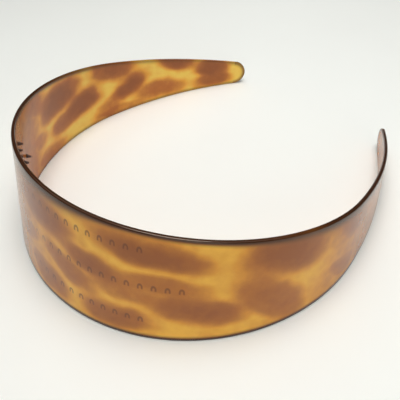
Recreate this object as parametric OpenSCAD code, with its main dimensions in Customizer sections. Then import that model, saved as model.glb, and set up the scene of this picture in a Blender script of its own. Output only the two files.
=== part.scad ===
// Wide springy headband, lying on its lower rim.
// X runs across the band, the crown faces -Y, the tips point to +Y and +Z is up.
// The origin is on the ground, under the middle of the band's box.

/* [Band] */
// Width of the band at the crown, measured up the wall
crown_width = 45.3; // [36:0.1:56]
// Width of the band at the centre of each rounded tip
tip_width = 12.3; // [8:0.1:16]
// How far the upper rim bows above a straight taper
upper_rim_bow = 1.5; // [0.5:0.1:3]
// Thickness of the plastic
wall = 1.5; // [1.2:0.1:2.4]
// Length along the wall from the middle of the crown to the end of a tip
arm_length = 185; // [154:1:222]

/* [Bend] */
// Radius of the crown's bend, at the middle of the wall
crown_radius = 66.8; // [55.6:0.1:80.2]
// Angle that the crown's bend turns through on each side
crown_turn = 99.4; // [82.8:0.1:106]
// Radius of the flatter bend of each arm
arm_radius = 143; // [119:1:200]
// Lean of the wall inwards as it rises from the band's own base
wall_lean = 4.8; // [2:0.1:7]
// Tilt of the whole band, tips down, that brings its lower rim flat to the ground
rim_tilt = 6; // [4:0.1:8]

/* [Teeth] */
// Length of a tooth, from the inside of the wall
tooth_length = 1.8; // [1.2:0.1:3]
// Diameter of a tooth at its root
tooth_root_d = 1.5; // [1:0.1:2.4]
// Diameter of a tooth at its blunt point
tooth_point_d = 0.5; // [0.2:0.1:0.8]
// Distance between neighbouring teeth along the wall
tooth_pitch = 4.2; // [3.5:0.1:5]
// Distance between neighbouring rows up the wall
row_spacing = 14.3; // [10:0.1:16]
// Height of the middle row above the crown's middle line, negative for below
middle_row_height = -0.7; // [-3:0.1:3]
// Teeth in the left end of the middle row
middle_row_left_teeth = 13; // [8:1:15]
// Teeth in the right end of the middle row
middle_row_right_teeth = 12; // [8:1:15]
// Teeth in the left end of the upper and of the lower row
outer_row_left_teeth = 10; // [6:1:13]
// Teeth in the right end of the upper and of the lower row
outer_row_right_teeth = 9; // [6:1:13]

/* [Hidden] */

$fn = 96;
// The bends and the upper rim's bow are circles so large that they need finer steps
BEND_FN = 256;
RIM_FN = 720;
AMBER = [0.80, 0.55, 0.22];
BROWN = [0.42, 0.24, 0.12];
// Spare length and height of blanks and cutters, past what they make or cut
SPARE = 5;
// Depth of a tooth's blank below the wall's inside face, which then trims it
ROOT_SINK = wall / 3;

lean_slope = tan(wall_lean);
tilt_slope = tan(rim_tilt);
// How far the wall's blank leans in over half its height. It is kept to a whole tenth, so that bends of
// different radii meet in exactly the same corners.
blank_lean = ceil((crown_width / 2 + upper_rim_bow + SPARE) * lean_slope * 10) / 10;
blank_half_height = blank_lean / lean_slope;

// Turn of a bend of a given radius, in degrees, over a given length
function turn_of(length, radius) = length / radius * 180 / PI;
// Outward direction and direction of travel of the wall after a given turn from the crown
function outward(turn) = [sin(turn), -cos(turn)];
function travel(turn) = [cos(turn), sin(turn)];

tip_radius = tip_width / 2;
crown_length = crown_radius * crown_turn * PI / 180;
crown_centre = [0, crown_radius];
arm_centre = crown_centre + (crown_radius - arm_radius) * outward(crown_turn);
tip_centre_turn = crown_turn + turn_of(arm_length - tip_radius - crown_length, arm_radius);
tip_end_turn = crown_turn + turn_of(arm_length - crown_length, arm_radius);
tip_centre = arm_centre + arm_radius * outward(tip_centre_turn);
tip_end = arm_centre + arm_radius * outward(tip_end_turn);

// The rims, as heights over the band's own base plane at a distance y behind the crown
function lower_rim(y) = y * tilt_slope - crown_width / 2;
tip_lower_rim = lower_rim(tip_centre.y);
tip_upper_rim = tip_lower_rim + tip_width;
tip_middle = tip_lower_rim + tip_radius;
rim_chord_start = [0, crown_width / 2];
rim_chord = [tip_centre.y, tip_upper_rim] - rim_chord_start;
rim_bow_radius = (rim_chord * rim_chord / 4 + upper_rim_bow ^ 2) / (2 * upper_rim_bow);
rim_chord_normal = [-rim_chord.y, rim_chord.x] / norm(rim_chord);
rim_bow_centre = rim_chord_start + rim_chord / 2 - (rim_bow_radius - upper_rim_bow) * rim_chord_normal;

// The tilted band's front, back and ground, for its origin
crown_foot_height = -(crown_width + wall * tilt_slope) / 2 / (1 - tilt_slope * lean_slope);
crown_foot_y = crown_foot_height * lean_slope - wall / 2;
front_y = crown_foot_y * cos(rim_tilt) + crown_foot_height * sin(rim_tilt);
back_y = (tip_end.y + wall / 2 * outward(tip_end_turn).y) * cos(rim_tilt) + tip_middle * sin(rim_tilt);
ground = -crown_width / 2 * cos(rim_tilt);

// Tilts the band onto its lower rim and brings its origin to the ground
module lay_down() {
    translate([0, -(front_y + back_y) / 2, -ground])
        rotate([-rim_tilt, 0, 0])
            children();
}

// Full-height wall that turns about its own upright axis, starting on +X
module wall_bend(radius, turn) {
    rotate_extrude(angle = turn, $fn = BEND_FN)
        polygon([
            [radius - wall / 2 + blank_lean, -blank_half_height],
            [radius + wall / 2 + blank_lean, -blank_half_height],
            [radius + wall / 2 - blank_lean, blank_half_height],
            [radius - wall / 2 - blank_lean, blank_half_height],
        ]);
}

// Brings the line where the crown's bend meets the arm's, on +X, to its place
module at_bend_change() {
    translate(crown_centre)
        rotate([0, 0, crown_turn - 90])
            children();
}

module crown_bend() {
    mirror([0, 1, 0])
        wall_bend(crown_radius, crown_turn);
}

module arm_bend() {
    translate([crown_radius - arm_radius, 0, 0])
        wall_bend(arm_radius, tip_end_turn - crown_turn + turn_of(SPARE, arm_radius));
}

// Side view of the band: straight below, gently bowed above
module rim_profile() {
    back = tip_end.y + 2 * SPARE;
    front = -2 * SPARE;
    intersection() {
        polygon([
            [front, lower_rim(front)],
            [back, lower_rim(back)],
            [back, blank_half_height],
            [front, blank_half_height],
        ]);
        translate(rim_bow_centre)
            circle(r = rim_bow_radius, $fn = RIM_FN);
    }
}

module between_rims() {
    rotate([90, 0, 90])
        linear_extrude(height = crown_radius + 2 * SPARE)
            rim_profile();
}

// What is cut from the arm's end to leave a round tip. The tapering rims reach into the tip's circle
// a little past its middle, so the cut starts there and not on the line where they would only touch.
module tip_waste() {
    half_depth = blank_lean + wall + SPARE;
    start = tip_radius / 8;
    translate([tip_centre.x, tip_centre.y, tip_middle])
        rotate([0, 0, tip_centre_turn - 90])
            difference() {
                translate([-half_depth, start, -tip_width])
                    cube([2 * half_depth, tip_radius + 2 * SPARE, 2 * tip_width]);
                rotate([0, 90, 0])
                    cylinder(r = tip_radius, h = 2 * half_depth + 2, center = true);
            }
}

// The band from the middle of its crown to its right tip, before it is tilted
module half_band() {
    difference() {
        intersection() {
            at_bend_change() {
                crown_bend();
                arm_bend();
            }
            between_rims();
        }
        tip_waste();
    }
}

// A tooth at a distance along the wall from the crown's middle and a height over the middle line
module tooth(along, height) {
    translate(crown_centre)
        rotate([0, 0, turn_of(along, crown_radius) - 90])
            translate([crown_radius - wall / 2 - height * lean_slope, 0, height])
                rotate([0, -90 - wall_lean, 0])
                    translate([0, 0, -ROOT_SINK])
                        cylinder(h = tooth_length + ROOT_SINK, d1 = tooth_root_d, d2 = tooth_point_d);
}

// A row's teeth on the right of the crown, from half a pitch out, their roots trimmed to the wall
module half_row(count, height) {
    difference() {
        for (i = [0:count - 1])
            tooth((i + 0.5) * tooth_pitch, height);
        at_bend_change()
            crown_bend();
    }
}

module band_left_half() {
    color(AMBER)
        lay_down()
            mirror([1, 0, 0])
                half_band();
}

module band_right_half() {
    color(AMBER)
        lay_down()
            half_band();
}

module teeth_left(count, height) {
    color(BROWN)
        lay_down()
            mirror([1, 0, 0])
                half_row(count, height);
}

module teeth_right(count, height) {
    color(BROWN)
        lay_down()
            half_row(count, height);
}

module upper_teeth_left() {
    teeth_left(outer_row_left_teeth, middle_row_height + row_spacing);
}

module middle_teeth_left() {
    teeth_left(middle_row_left_teeth, middle_row_height);
}

module lower_teeth_left() {
    teeth_left(outer_row_left_teeth, middle_row_height - row_spacing);
}

module upper_teeth_right() {
    teeth_right(outer_row_right_teeth, middle_row_height + row_spacing);
}

module middle_teeth_right() {
    teeth_right(middle_row_right_teeth, middle_row_height);
}

module lower_teeth_right() {
    teeth_right(outer_row_right_teeth, middle_row_height - row_spacing);
}

band_left_half();
band_right_half();
upper_teeth_left();
middle_teeth_left();
lower_teeth_left();
upper_teeth_right();
middle_teeth_right();
lower_teeth_right();
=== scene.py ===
"""A wide one-piece tortoiseshell headband with three rows of short teeth inside its crown.

The band's shape repeats the sizes that the CAD source is made from, in millimetres:
"along" runs round the wall from the middle of the crown, negative to the left,
"height" is measured up the wall from its middle line, and "offset" is measured
outwards from the middle of the wall's thickness.
"""

import math

import bmesh
import bpy
import numpy as np
from mathutils import Matrix, Vector, noise


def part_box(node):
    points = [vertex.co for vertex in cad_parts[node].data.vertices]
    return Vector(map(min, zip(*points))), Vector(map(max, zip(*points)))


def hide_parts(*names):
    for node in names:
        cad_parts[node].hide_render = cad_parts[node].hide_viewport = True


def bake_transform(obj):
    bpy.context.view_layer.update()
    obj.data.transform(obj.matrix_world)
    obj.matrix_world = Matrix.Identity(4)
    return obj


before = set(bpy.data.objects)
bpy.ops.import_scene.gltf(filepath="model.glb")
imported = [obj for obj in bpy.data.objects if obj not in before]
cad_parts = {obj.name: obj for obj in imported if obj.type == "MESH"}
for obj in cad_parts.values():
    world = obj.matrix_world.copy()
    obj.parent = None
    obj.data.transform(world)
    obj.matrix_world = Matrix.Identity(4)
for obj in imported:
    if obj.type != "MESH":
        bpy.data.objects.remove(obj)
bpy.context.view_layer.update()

MM = 0.001

# The band
CROWN_WIDTH = 45.3
TIP_WIDTH = 12.3
UPPER_RIM_BOW = 1.5
WALL = 1.5
ARM_LENGTH = 185.0
CROWN_RADIUS = 66.8
CROWN_TURN = math.radians(99.4)
ARM_RADIUS = 143.0
WALL_LEAN = math.radians(4.8)
RIM_TILT = math.radians(6.0)
RIM_ROUNDING = 0.5

# The teeth: a pitch apart, on both sides of the crown's middle
TOOTH_LENGTH = 1.8
TOOTH_PITCH = 4.2
ROW_SPACING = 14.3
MIDDLE_ROW_HEIGHT = -0.7
ROWS = {
    "upper": (MIDDLE_ROW_HEIGHT + ROW_SPACING, 10, 9),
    "middle": (MIDDLE_ROW_HEIGHT, 13, 12),
    "lower": (MIDDLE_ROW_HEIGHT - ROW_SPACING, 10, 9),
}


# ---------------------------------------------------------------- the band's shape

TIP_RADIUS = TIP_WIDTH / 2
RIM_PASSES = 25  # enough for a rim's height to settle on the leaning wall
CROWN_LENGTH = CROWN_RADIUS * CROWN_TURN
ARM_CENTRE = (
    (CROWN_RADIUS - ARM_RADIUS) * math.sin(CROWN_TURN),
    CROWN_RADIUS - (CROWN_RADIUS - ARM_RADIUS) * math.cos(CROWN_TURN),
)
TILT_SLOPE = math.tan(RIM_TILT)
LEAN_SLOPE = math.tan(WALL_LEAN)


def wall_point(along, height, offset):
    """A point of the wall, before the band is tilted onto its lower rim."""
    run = np.abs(along)
    on_crown = run < CROWN_LENGTH
    turn = np.where(
        on_crown, run / CROWN_RADIUS, CROWN_TURN + (run - CROWN_LENGTH) / ARM_RADIUS
    )
    radius = np.where(on_crown, CROWN_RADIUS, ARM_RADIUS) + offset - height * LEAN_SLOPE
    centre_x = np.where(on_crown, 0.0, ARM_CENTRE[0])
    centre_y = np.where(on_crown, CROWN_RADIUS, ARM_CENTRE[1])
    side = np.where(along < 0, -1.0, 1.0)
    x = side * (centre_x + radius * np.sin(turn))
    y = centre_y - radius * np.cos(turn)
    return np.stack([x, y, height + np.zeros_like(x)], axis=-1)


def arm_point(run):
    """x and y of the wall's middle on the right arm."""
    x, y, _ = wall_point(np.array(run), np.array(0.0), 0.0)
    return float(x), float(y)


tip_centre = arm_point(ARM_LENGTH - TIP_RADIUS)
tip_lower = tip_centre[1] * TILT_SLOPE - CROWN_WIDTH / 2
tip_middle = tip_lower + TIP_RADIUS

# The upper rim is an arc, seen from the side, from the crown to the tip
chord = np.array([tip_centre[1], tip_lower + TIP_WIDTH - CROWN_WIDTH / 2])
rim_bow_radius = (chord @ chord / 4 + UPPER_RIM_BOW**2) / (2 * UPPER_RIM_BOW)
chord_normal = np.array([-chord[1], chord[0]]) / math.hypot(*chord)
rim_bow_centre = (
    np.array([0, CROWN_WIDTH / 2])
    + chord / 2
    - (rim_bow_radius - UPPER_RIM_BOW) * chord_normal
)


def rim_height(along, offset, upper):
    """Height of a rim where it passes a place along the wall."""
    height = np.zeros_like(along)
    for _ in range(RIM_PASSES):
        y = wall_point(along, height, offset)[..., 1]
        if upper:
            reach = rim_bow_radius**2 - (y - rim_bow_centre[0]) ** 2
            height = rim_bow_centre[1] + np.sqrt(reach)
        else:
            height = y * TILT_SLOPE - CROWN_WIDTH / 2
    return height


def tilted(points):
    """Tilts points so that the lower rim lies flat."""
    return points @ np.array(Matrix.Rotation(-RIM_TILT, 3, "X")).T


def ground_shift_from_cad():
    """The shift that puts the tilted band where the CAD halves stand."""
    lows, highs = zip(*(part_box(name) for name in ("band_left_half", "band_right_half")))
    middle_y = (min(p[1] for p in lows) + max(p[1] for p in highs)) / 2 / MM
    bottom = min(p[2] for p in lows) / MM
    foot_height = rim_height(np.array([0.0]), WALL / 2, upper=False)
    front = tilted(wall_point(np.array([0.0]), foot_height, WALL / 2))
    back = tilted(wall_point(np.array([ARM_LENGTH]), np.array([tip_middle]), WALL / 2))
    lowest = -CROWN_WIDTH / 2 * math.cos(RIM_TILT)
    return np.array([0, middle_y - (front[0, 1] + back[0, 1]) / 2, bottom - lowest])


def laid_down(points):
    """Tilts points onto the lower rim, and brings them to the CAD band's place, in metres."""
    return (tilted(points) + ground_shift) * MM


ground_shift = ground_shift_from_cad()


# ---------------------------------------------------------------- the tortoiseshell pattern

# Brown patches in the amber sheet: along, height, half length, half height,
# slope in degrees, depth of colour. They go right through the wall.
PATCHES = [
    # front of the crown and the right arm
    (39, 13.1, 20.5, 5.2, -7, 1.0),
    (33, 18.6, 17, 3.2, -2, 0.5),
    (19, 3.4, 10.5, 5.0, -8, 0.95),
    (41.5, 2.4, 16.5, 3.8, -2, 0.7),
    (53.5, -7.0, 15.5, 6.6, -8, 0.95),
    (30, -3.2, 14, 4.4, -8, 0.62),
    (27.5, -15.3, 14, 5.9, 4, 0.88),
    (-2, -14.6, 12, 6.5, -10, 0.88),
    (9.0, -4.0, 14, 5.2, -20, 0.78),
    (-4, 12.2, 18, 7.8, -7, 1.0),
    (-16, -2.5, 12, 5.6, 8, 0.85),
    (80.5, 11.5, 16.5, 8.3, -12, 1.0),
    (76.5, -5.6, 18, 7.8, -42, 0.8),
    (112, 8.8, 13.5, 5.9, -14, 1.0),
    (107.5, -7.0, 10, 5.8, -20, 0.8),
    (121, 2.0, 17, 6.0, -12, 0.5),
    (129, -4.0, 11, 4.8, -8, 0.85),
    (133, 6.8, 11, 3.6, -12, 0.85),
    (151, 0.6, 10, 4.4, -10, 0.95),
    (169, -3.0, 9, 4.8, 6, 0.95),
    # left arm
    (-31, 12.0, 14, 8.0, 8, 1.0),
    (-26, -15.0, 11, 6.0, 6, 0.85),
    (-38, -4.0, 11, 5.6, -16, 0.9),
    (-50, -15.6, 12, 5.8, 4, 0.85),
    (-47, 5.5, 8, 4.8, 20, 0.8),
    (-61, 15.0, 12, 6.2, 8, 0.85),
    (-66, -4.0, 8.5, 5.2, 4, 0.62),
    (-74, -15.4, 13.5, 5.4, 0, 0.62),
    (-82.5, 8.8, 15, 7.8, -12, 1.0),
    (-98.5, -0.2, 11, 6.6, -10, 1.0),
    (-88, -4.2, 12, 5.2, -14, 0.8),
    (-115, 10.4, 12.8, 6.3, 8, 0.92),
    (-124.5, 0.0, 10, 5.2, -30, 1.0),
    (-114, -7.6, 13, 4.8, -36, 0.55),
    (-121, -11.8, 13, 3.0, -5, 0.45),
    (-147.5, 8.3, 11.5, 4.9, 13, 1.0),
    (-140, -5.8, 15, 5.2, 0, 0.66),
    (-167.5, 1.7, 10, 5.2, 2, 1.0),
    (-168, -5.1, 10.5, 3.8, -3, 0.85),
]


PATCH_SQUARENESS = 2.3  # 2 is an ellipse, and more is squarer
DRIFT = (1.8, 1.2)  # how far noise moves the pattern along and up the wall


def pattern(along, height):
    """How brown the sheet is, from 0 in clear amber to 1 in the middle of a patch."""
    drift = np.empty((2, along.size))
    for i, (a, h) in enumerate(zip(along.ravel(), height.ravel())):
        for axis, lift in ((0, 3.7), (1, 41.3)):
            drift[axis, i] = noise.noise((a / 11, h / 7, lift)) + 0.5 * noise.noise(
                (a / 5, h / 3.4, lift)
            )
    a = along + DRIFT[0] * drift[0].reshape(along.shape)
    h = height + DRIFT[1] * drift[1].reshape(height.shape)
    clear = np.ones_like(along)
    for middle, level, half_length, half_height, slope, depth in PATCHES:
        c, s = math.cos(math.radians(slope)), math.sin(math.radians(slope))
        u = (c * (a - middle) + s * (h - level)) / half_length
        v = (-s * (a - middle) + c * (h - level)) / half_height
        reach = np.abs(u) ** PATCH_SQUARENESS + np.abs(v) ** PATCH_SQUARENESS
        reach = reach ** (1 / PATCH_SQUARENESS)
        inside = np.clip((1.30 - reach) / 0.72, 0, 1)
        core = 0.7 + 0.3 * np.clip(1.4 - 1.4 * reach, 0, 1)
        clear *= 1 - depth * core * inside * inside * (3 - 2 * inside)
    return 1 - clear


# ---------------------------------------------------------------- the band's mesh

MAIN_STATIONS = 451
TIP_STATIONS = 24
ROUNDING_ROWS = 7
FACE_ROWS = 45


def stations():
    """Places along the band, and how far each has turned round the tip's circle."""
    straight = ARM_LENGTH - TIP_RADIUS
    main = np.linspace(-straight, straight, MAIN_STATIONS)
    turns = np.radians(np.linspace(0, 90, TIP_STATIONS + 1)[1:])
    ends = straight + TIP_RADIUS * np.sin(turns)
    along = np.concatenate([-ends[::-1], main, ends])
    return along, np.concatenate([turns[::-1], np.zeros_like(main), turns])


def section_rows():
    """The closed cross-section, as (share of the way down, inset from the rim, offset).

    The share is 0 on the upper rim's rows, 1 on the lower rim's and between them on the faces.
    """
    half = WALL / 2
    flat = half - RIM_ROUNDING
    angles = np.radians(np.linspace(0, 90, ROUNDING_ROWS))
    nose = [
        (RIM_ROUNDING * (1 - math.cos(a)), flat + RIM_ROUNDING * math.sin(a))
        for a in angles
    ]
    shares = np.linspace(0, 1, FACE_ROWS + 2)[1:-1]
    rows = [(0.0, 0.0, 0.0)]
    rows += [(0.0, inset, offset) for inset, offset in nose]
    rows += [(share, RIM_ROUNDING, half) for share in shares]
    rows += [(1.0, inset, offset) for inset, offset in reversed(nose)]
    rows += [(1.0, 0.0, 0.0)]
    rows += [(1.0, inset, -offset) for inset, offset in nose]
    rows += [(share, RIM_ROUNDING, -half) for share in shares[::-1]]
    rows += [(0.0, inset, -offset) for inset, offset in reversed(nose)]
    return rows


def inset_edge(along, turn, offset, inset, upper):
    """A line a little inside the band's outline, near its upper or its lower rim."""
    rim = rim_height(along, offset, upper)
    round_end = TIP_RADIUS * np.cos(turn)
    if upper:
        rim = np.where(turn > 0, np.minimum(rim, tip_middle + round_end), rim)
    else:
        rim = np.where(turn > 0, np.maximum(rim, tip_middle - round_end), rim)
    inwards = -1 if upper else 1
    return (
        along - np.sign(along) * inset * np.sin(turn),
        rim + inwards * inset * np.cos(turn),
    )


def rim_distances(along, height, offset):
    """Distances down from the upper rim and up from the lower one, the tip's round end included."""
    past = np.abs(along) - (ARM_LENGTH - TIP_RADIUS)
    from_tip = np.where(
        past > 0, TIP_RADIUS - np.hypot(past, height - tip_middle), np.inf
    )
    below = rim_height(along, offset, True) - height
    above = height - rim_height(along, offset, False)
    return np.minimum(below, from_tip), np.minimum(above, from_tip)


def band_mesh():
    along, turn = stations()
    rows = section_rows()
    edges = {}
    sheets = []
    for share, inset, offset in rows:
        for upper in (True, False):
            key = (inset, offset, upper)
            if key not in edges:
                edges[key] = inset_edge(along, turn, offset, inset, upper)
        top, foot = edges[inset, offset, True], edges[inset, offset, False]
        row_along = top[0] * (1 - share) + foot[0] * share
        row_height = top[1] * (1 - share) + foot[1] * share
        points = laid_down(wall_point(row_along, row_height, offset))
        down, up = rim_distances(row_along, row_height, offset)
        sheets.append((points, row_along, row_height, down, up, offset / (WALL / 2)))

    points = np.array([s[0] for s in sheets]).reshape(-1, 3)
    values = {
        "along": np.array([s[1] for s in sheets]),
        "height": np.array([s[2] for s in sheets]),
        "from_top": np.array([s[3] for s in sheets]),
        "from_foot": np.array([s[4] for s in sheets]),
        "side": np.array([np.full_like(along, s[5]) for s in sheets]),
    }
    values["patch"] = pattern(values["along"], values["height"])

    count, length = len(rows), len(along)
    first = np.arange(count)[:, None] * length + np.arange(length - 1)[None, :]
    second = (np.arange(1, count + 1) % count)[:, None] * length + np.arange(
        length - 1
    )[None, :]
    quads = np.stack([first, first + 1, second + 1, second], axis=-1).reshape(-1, 4)
    return mesh_from("band", points, quads.tolist(), values)


def mesh_from(name, points, faces, values):
    """A smooth-shaded mesh with coincident points merged and per-point values kept."""
    mesh = bpy.data.meshes.new(name)
    mesh.from_pydata(points.tolist(), [], faces)
    for key, numbers in values.items():
        layer = mesh.attributes.new(key, "FLOAT", "POINT")
        layer.data.foreach_set("value", numbers.astype(np.float32).ravel())
    work = bmesh.new()
    work.from_mesh(mesh)
    bmesh.ops.remove_doubles(work, verts=work.verts, dist=0.001 * MM)
    bmesh.ops.recalc_face_normals(work, faces=work.faces)
    for face in work.faces:
        face.smooth = True
    work.to_mesh(mesh)
    work.free()
    mesh.update()
    return mesh


def add_piece(name, mesh, material):
    piece = bpy.data.objects.new(name, mesh)
    bpy.context.scene.collection.objects.link(piece)
    mesh.materials.append(material)
    return piece


# ---------------------------------------------------------------- the teeth

# A tooth from its root to its rounded point: height over the wall, radius
TOOTH_OUTLINE = [
    (-0.20, 1.05),
    (0.00, 0.92),
    (0.10, 0.80),
    (0.25, 0.71),
    (0.55, 0.62),
    (1.00, 0.50),
    (1.35, 0.41),
    (1.58, 0.35),
    (1.70, 0.28),
    (1.77, 0.17),
]
TOOTH_SIDES = 20


def tooth_row_mesh(name, height, left_count, right_count):
    """All the teeth of one row, each a rounded spur that stands square on the wall."""
    points, faces, reach = [], [], []
    for i in range(-left_count, right_count):
        along = (i + 0.5) * TOOTH_PITCH
        turn = along / CROWN_RADIUS
        outward = np.array([math.sin(turn), -math.cos(turn), 0.0])
        axis = -(math.cos(WALL_LEAN) * outward + np.array([0, 0, math.sin(WALL_LEAN)]))
        across = np.cross([0, 0, 1.0], outward)
        rise = np.cross(axis, across)
        root = wall_point(np.array(along), np.array(height), -WALL / 2)
        first = len(points)
        for level, radius in TOOTH_OUTLINE:
            for k in range(TOOTH_SIDES):
                a = 2 * math.pi * k / TOOTH_SIDES
                ring = math.cos(a) * across + math.sin(a) * rise
                points.append(root + level * axis + radius * ring)
                reach.append(level / TOOTH_LENGTH)
        for level in range(len(TOOTH_OUTLINE) - 1):
            for k in range(TOOTH_SIDES):
                a = first + level * TOOTH_SIDES + k
                b = first + level * TOOTH_SIDES + (k + 1) % TOOTH_SIDES
                faces.append([a, b, b + TOOTH_SIDES, a + TOOTH_SIDES])
        ends = (
            (first, TOOTH_OUTLINE[0][0]),
            (first + (len(TOOTH_OUTLINE) - 1) * TOOTH_SIDES, TOOTH_LENGTH),
        )
        for ring_start, level in ends:
            points.append(root + level * axis)
            reach.append(level / TOOTH_LENGTH)
            for k in range(TOOTH_SIDES):
                faces.append(
                    [
                        ring_start + k,
                        ring_start + (k + 1) % TOOTH_SIDES,
                        len(points) - 1,
                    ]
                )
    return mesh_from(name, laid_down(np.array(points)), faces, {"reach": np.array(reach)})


# ---------------------------------------------------------------- materials


class Nodes:
    """Short ways to add and link the nodes of one material."""

    def __init__(self, name):
        self.material = bpy.data.materials.new(name)
        self.material.use_nodes = True
        self.tree = self.material.node_tree
        self.shader = self.tree.nodes["Principled BSDF"]

    def feed(self, socket, value):
        if isinstance(value, bpy.types.NodeSocket):
            self.tree.links.new(value, socket)
        else:
            socket.default_value = value

    def add(self, kind, inputs=None, **settings):
        node = self.tree.nodes.new("ShaderNode" + kind)
        for key, value in settings.items():
            setattr(node, key, value)
        for key, value in (inputs or {}).items():
            self.feed(node.inputs[key], value)
        return node

    def value(self, name):
        return self.add("Attribute", attribute_name=name).outputs["Fac"]

    def math(self, operation, *values, clamp=False):
        node = self.add("Math", operation=operation, use_clamp=clamp)
        for socket, value in zip(node.inputs, values):
            self.feed(socket, value)
        return node.outputs[0]

    def step(self, value, start, end, low=0.0, high=1.0):
        """Goes smoothly from low at start to high at end."""
        node = self.add("MapRange", interpolation_type="SMOOTHSTEP")
        for key, number in zip(
            ("Value", "From Min", "From Max", "To Min", "To Max"),
            (value, start, end, low, high),
        ):
            self.feed(node.inputs[key], number)
        return node.outputs["Result"]

    def noise(self, vector, scale, detail=3.0, roughness=0.5):
        node = self.add(
            "TexNoise",
            {
                "Vector": vector,
                "Scale": scale,
                "Detail": detail,
                "Roughness": roughness,
            },
        )
        return node.outputs["Fac"]

    def ramp(self, value, stops):
        node = self.add("ValToRGB", {"Fac": value})
        ramp = node.color_ramp
        ramp.interpolation = "LINEAR"
        while len(ramp.elements) < len(stops):
            ramp.elements.new(0.5)
        for element, (place, colour) in zip(ramp.elements, stops):
            element.position = place
            element.color = (*colour, 1)
        return node.outputs["Color"]

    def mix(self, share, first, second, blend="MIX"):
        node = self.add("Mix", data_type="RGBA", blend_type=blend)
        self.feed(node.inputs["Factor"], share)
        self.feed(
            node.inputs["A"],
            (*first, 1) if isinstance(first, tuple) else first,
        )
        self.feed(
            node.inputs["B"],
            (*second, 1) if isinstance(second, tuple) else second,
        )
        return node.outputs["Result"]

    def combine(self, x, y, z):
        return self.add("CombineXYZ", {"X": x, "Y": y, "Z": z}).outputs["Vector"]


def srgb(red, green, blue):
    """A colour given as a screen shows it, in 0 to 255, made linear."""
    return tuple(
        c / 12.92 if c <= 0.04045 else ((c + 0.055) / 1.055) ** 2.4
        for c in (red / 255, green / 255, blue / 255)
    )


# The arches of the painted see-through view of the teeth sit higher than each row, as the roots are
# seen through the wall from above.
ARCH_RADIUS = 0.62
ARCH_LIFT = 1.3  # from the row's middle up to the arch's centre


def painted_teeth_seen_through(n, along, height, side):
    """Painted see-through view: the teeth's roots, painted on the outer face as thin dark arches
    where they show through the wall.
    """
    across = n.math("DIVIDE", along, TOOTH_PITCH)
    across = n.math("SUBTRACT", n.math("FRACT", across), 0.5)
    across = n.math("MULTIPLY", across, TOOTH_PITCH)
    total = None
    for row_height, left, right in ROWS.values():
        lift = n.math("SUBTRACT", height, row_height + ARCH_LIFT)
        above = n.math("MULTIPLY", n.math("MAXIMUM", lift, 0.0), 0.62)
        from_middle = n.math(
            "SQRT",
            n.math(
                "ADD",
                n.math("MULTIPLY", across, across),
                n.math("MULTIPLY", above, above),
            ),
        )
        off_line = n.math("ABSOLUTE", n.math("SUBTRACT", from_middle, ARCH_RADIUS))
        line = n.step(off_line, 0.12, 0.42, 1, 0)
        line = n.math("MULTIPLY", line, n.step(lift, -1.1, -0.5))
        line = n.math("MULTIPLY", line, n.step(lift, 1.3, 1.8, 1, 0))
        for edge, direction in ((-left * TOOTH_PITCH, 1), (right * TOOTH_PITCH, -1)):
            line = n.math("MULTIPLY", line, n.step(along, edge - 0.2 * direction, edge))
        total = line if total is None else n.math("MAXIMUM", total, line)
    total = n.math("MULTIPLY", total, n.step(along, -35, 20, 0.15, 1))
    on_outside = n.step(side, 0.6, 0.95)
    return n.math("MULTIPLY", total, on_outside)


# Colours of the sheet from clear amber to the middle of a brown patch
SEEN_OUTSIDE = [
    (0.00, srgb(255, 193, 68)),
    (0.30, srgb(233, 158, 48)),
    (0.62, srgb(194, 117, 38)),
    (1.00, srgb(158, 86, 32)),
]
# The inner face is painted lighter and yellower, as painted light for what comes through the
# clearer parts
INSIDE_WITH_PAINTED_LIGHT = [
    (0.00, srgb(255, 216, 94)),
    (0.30, srgb(242, 172, 60)),
    (0.62, srgb(194, 114, 42)),
    (1.00, srgb(152, 82, 34)),
]
# Colours of the painted shade along the rims
RIM_SHADE_BROWN = srgb(146, 82, 34)
RIM_SHADE_DARK = srgb(62, 34, 18)
# Colour of the painted see-through view of the teeth's roots
SEEN_THROUGH_TEETH_COLOUR = srgb(104, 52, 20)


def brownness(n, along, sheet):
    """The patches, on a sheet that is also a little brown where it is cloudy and browner towards
    the right end; the left of the crown is browned too, partly for patches there and partly as
    painted shade for the shadowed floor that it reflects.
    """
    clouded = n.step(n.noise(sheet, 0.07, 2, 0.5), 0.35, 0.65)
    tint = n.math("MULTIPLY", clouded, 0.2)
    tint = n.math("MULTIPLY", tint, n.step(along, -75, -45))
    # Browner towards the right end
    tint = n.math("ADD", tint, n.step(along, 82, 118, 0, 0.55))
    # Painted shade over the left of the crown, for the shadowed floor it reflects; partly patches
    # there too
    left = n.math("MULTIPLY", n.step(along, -78, -56), n.step(along, -30, 8, 0.7, 0))
    tint = n.math("ADD", tint, left)
    cloud = n.math("SUBTRACT", n.noise(sheet, 0.28, 4, 0.55), 0.5)
    grain = n.math("SUBTRACT", n.noise(sheet, 1.9, 3, 0.6), 0.5)
    brown = n.math("ADD", n.math("MAXIMUM", n.value("patch"), tint), 0.02)
    brown = n.math("ADD", brown, n.math("MULTIPLY", cloud, 0.3))
    return n.math("ADD", brown, n.math("MULTIPLY", grain, 0.07), clamp=True)


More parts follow.
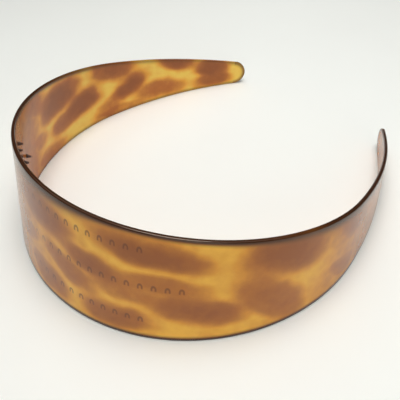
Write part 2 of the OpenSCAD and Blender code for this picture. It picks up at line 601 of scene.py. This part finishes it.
def painted_rim_shade(n, colour, along, side):
    """Painted shade near the rims: light is trapped near a rim, so the sheet is painted fading to
    brown there and then to dark.
    """
    from_top, from_foot = n.value("from_top"), n.value("from_foot")
    depth = n.step(n.math("ABSOLUTE", along), 60, 135, 1, 0.4)
    depth = n.math("MAXIMUM", depth, n.step(along, 60, 100))
    right_width = n.step(along, 55, 95, 2.4, 6.4)
    left_width = n.step(along, -12, 34, 7.0, 0)
    width = n.math("ADD", right_width, left_width)
    width = n.math("MULTIPLY", width, n.step(side, -0.6, 0.6, 0.3, 1))
    fade = n.math("MULTIPLY", n.step(from_top, 0.3, width, 1, 0), depth)
    colour = n.mix(fade, colour, RIM_SHADE_BROWN)
    width = n.math("MULTIPLY", width, 0.62)
    shade = n.math("MULTIPLY", n.step(from_top, 0.3, width, 1, 0), depth)
    colour = n.mix(shade, colour, RIM_SHADE_DARK)

    foot_depth = n.step(side, -0.6, 0.6, 0.35, 1)
    fade = n.math("MULTIPLY", n.step(from_foot, 0.9, 2.6, 0.9, 0), foot_depth)
    colour = n.mix(fade, colour, RIM_SHADE_BROWN)
    shade = n.math("MULTIPLY", n.step(from_foot, 0.8, 1.7, 0.95, 0), foot_depth)
    return n.mix(shade, colour, RIM_SHADE_DARK)


def tortoiseshell():
    """Glossy cellulose acetate: amber, with brown patches that go through the sheet."""
    n = Nodes("tortoiseshell_acetate")
    along, height, side = n.value("along"), n.value("height"), n.value("side")
    sheet = n.combine(along, height, n.math("MULTIPLY", side, 0.4))

    brown = brownness(n, along, sheet)
    outside, inside = n.ramp(brown, SEEN_OUTSIDE), n.ramp(brown, INSIDE_WITH_PAINTED_LIGHT)
    # Painted light: the inner face takes the lighter, yellower colours
    colour = n.mix(n.step(side, -0.9, 0.9), inside, outside)
    # Painted shade along the upper and lower rims
    colour = painted_rim_shade(n, colour, along, side)
    # Painted see-through view of the teeth on the outer face
    teeth_seen_through = painted_teeth_seen_through(n, along, height, side)
    colour = n.mix(n.math("MULTIPLY", teeth_seen_through, 0.7), colour, SEEN_THROUGH_TEETH_COLOUR)
    n.feed(n.shader.inputs["Base Color"], colour)

    wear = n.noise(sheet, 0.9, 5, 0.65)
    n.feed(n.shader.inputs["Roughness"], n.step(wear, 0.3, 0.75, 0.14, 0.24))
    bump = n.add("Bump", {"Strength": 0.05, "Distance": 0.05 * MM})
    n.feed(bump.inputs["Height"], n.noise(sheet, 0.35, 3, 0.5))
    n.feed(n.shader.inputs["Normal"], bump.outputs["Normal"])
    n.shader.inputs["IOR"].default_value = 1.5
    n.shader.inputs["Specular Tint"].default_value = (1.0, 0.86, 0.72, 1)
    n.shader.inputs["Coat Weight"].default_value = 0.1
    n.shader.inputs["Coat Roughness"].default_value = 0.06
    return n.material


def tooth_plastic():
    """The same acetate in the teeth, painted darker as painted shade, for each is seen in its own
    shade.
    """
    n = Nodes("tooth_acetate")
    position = n.add("TexCoord").outputs["Object"]
    cloud = n.noise(position, 900, 4, 0.6)
    tone = n.math("MULTIPLY", n.math("SUBTRACT", cloud, 0.5), 0.5)
    tone = n.math(
        "ADD", n.math("MULTIPLY", n.value("reach"), 0.35), tone, clamp=True
    )
    # Painted shade: dark browns for teeth seen in their own shade, lighter towards the point
    colour = n.ramp(
        tone,
        [
            (0.0, srgb(58, 34, 22)),
            (0.5, srgb(84, 50, 30)),
            (1.0, srgb(120, 74, 42)),
        ],
    )
    n.feed(n.shader.inputs["Base Color"], colour)
    n.feed(n.shader.inputs["Roughness"], n.step(cloud, 0.3, 0.7, 0.28, 0.42))
    bump = n.add("Bump", {"Strength": 0.1, "Distance": 0.03 * MM, "Height": cloud})
    n.feed(n.shader.inputs["Normal"], bump.outputs["Normal"])
    n.shader.inputs["IOR"].default_value = 1.5
    n.shader.inputs["Coat Weight"].default_value = 0.1
    n.shader.inputs["Coat Roughness"].default_value = 0.2
    return n.material


# ---------------------------------------------------------------- pieces


def bends_with_band(piece):
    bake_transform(piece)


band = add_piece("band", band_mesh(), tortoiseshell())
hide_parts("band_left_half", "band_right_half")
bends_with_band(band)

tooth_material = tooth_plastic()
for row, (height, left_count, right_count) in ROWS.items():
    name = row + "_teeth"
    teeth = add_piece(
        name, tooth_row_mesh(name, height, left_count, right_count), tooth_material
    )
    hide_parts(name + "_left", name + "_right")
    bends_with_band(teeth)


# ---------------------------------------------------------------- floor, light and camera


def floor_material():
    n = Nodes("pale_table")
    place = n.add("TexCoord").outputs["Object"]
    shade = n.noise(place, 14, 4, 0.5)
    n.feed(
        n.shader.inputs["Base Color"],
        n.ramp(shade, [(0.0, srgb(247, 247, 242)), (1.0, srgb(251, 252, 247))]),
    )
    n.shader.inputs["Roughness"].default_value = 0.6
    n.shader.inputs["Specular IOR Level"].default_value = 0.2
    return n.material


def floor_mesh(reach):
    mesh = bpy.data.meshes.new("table_top")
    corners = [(-reach, -reach, 0), (reach, -reach, 0), (reach, reach, 0), (-reach, reach, 0)]
    mesh.from_pydata(corners, [], [(0, 1, 2, 3)])
    return mesh


table_top = add_piece("table_top", floor_mesh(4.0), floor_material())


def soft_light(name, place, target, size, power, colour):
    lamp = bpy.data.lights.new(name, "AREA")
    lamp.shape = "DISK"
    lamp.size = size
    lamp.energy = power
    lamp.color = colour
    holder = bpy.data.objects.new(name, lamp)
    holder.location = place
    direction = Vector(target) - Vector(place)
    holder.rotation_euler = direction.to_track_quat("-Z", "Y").to_euler()
    bpy.context.scene.collection.objects.link(holder)


WHITE = (0.99, 1.0, 0.99)
soft_light("overhead", (0.03, 0.03, 1.0), (0, 0, 0), 0.5, 4.3, WHITE)
soft_light("close_lamp", (0.02, 0.0, 0.35), (0.02, 0, 0), 0.2, 0.4, WHITE)
soft_light("far_lamp", (0.12, 0.45, 1.0), (0, 0, 0), 0.7, 1.5, WHITE)
soft_light("left_lamp", (-0.5, 0.1, 0.9), (0, 0, 0), 0.7, 1.3, WHITE)
soft_light("front_fill", (0.9, -0.85, 0.45), (0, 0, 0.02), 1.0, 4.0, WHITE)
soft_light("window", (-0.70, 0.96, 0.20), (0, 0, 0.03), 0.3, 0.6, WHITE)


world = bpy.data.worlds.new("room")
world.use_nodes = True
sky = world.node_tree.nodes["Background"]
sky.inputs["Color"].default_value = (1.0, 1.0, 0.985, 1)
sky.inputs["Strength"].default_value = 0.03
bpy.context.scene.world = world
bpy.context.scene.view_settings.view_transform = "Standard"


def camera_turn(azimuth, elevation, roll):
    """The rotation of a camera that looks at the object from an azimuth and an elevation."""
    a, e, r = (math.radians(x) for x in (azimuth, elevation, roll))
    back = Vector((math.sin(a) * math.cos(e), -math.cos(a) * math.cos(e), math.sin(e)))
    right = Vector((math.cos(a), math.sin(a), 0))
    up = back.cross(right)
    turned_right = math.cos(r) * right + math.sin(r) * up
    turned_up = math.cos(r) * up - math.sin(r) * right
    return Matrix((turned_right, turned_up, back)).transposed()


view = bpy.data.cameras.new("view")
view.sensor_width = 36
view.lens = 47.32
camera = bpy.data.objects.new("view", view)
camera.matrix_world = Matrix.Translation(
    (0.11542, -0.10843, 0.14982)
) @ camera_turn(46.85, 44.85, -2.96).to_4x4()
bpy.context.scene.collection.objects.link(camera)
bpy.context.scene.camera = camera
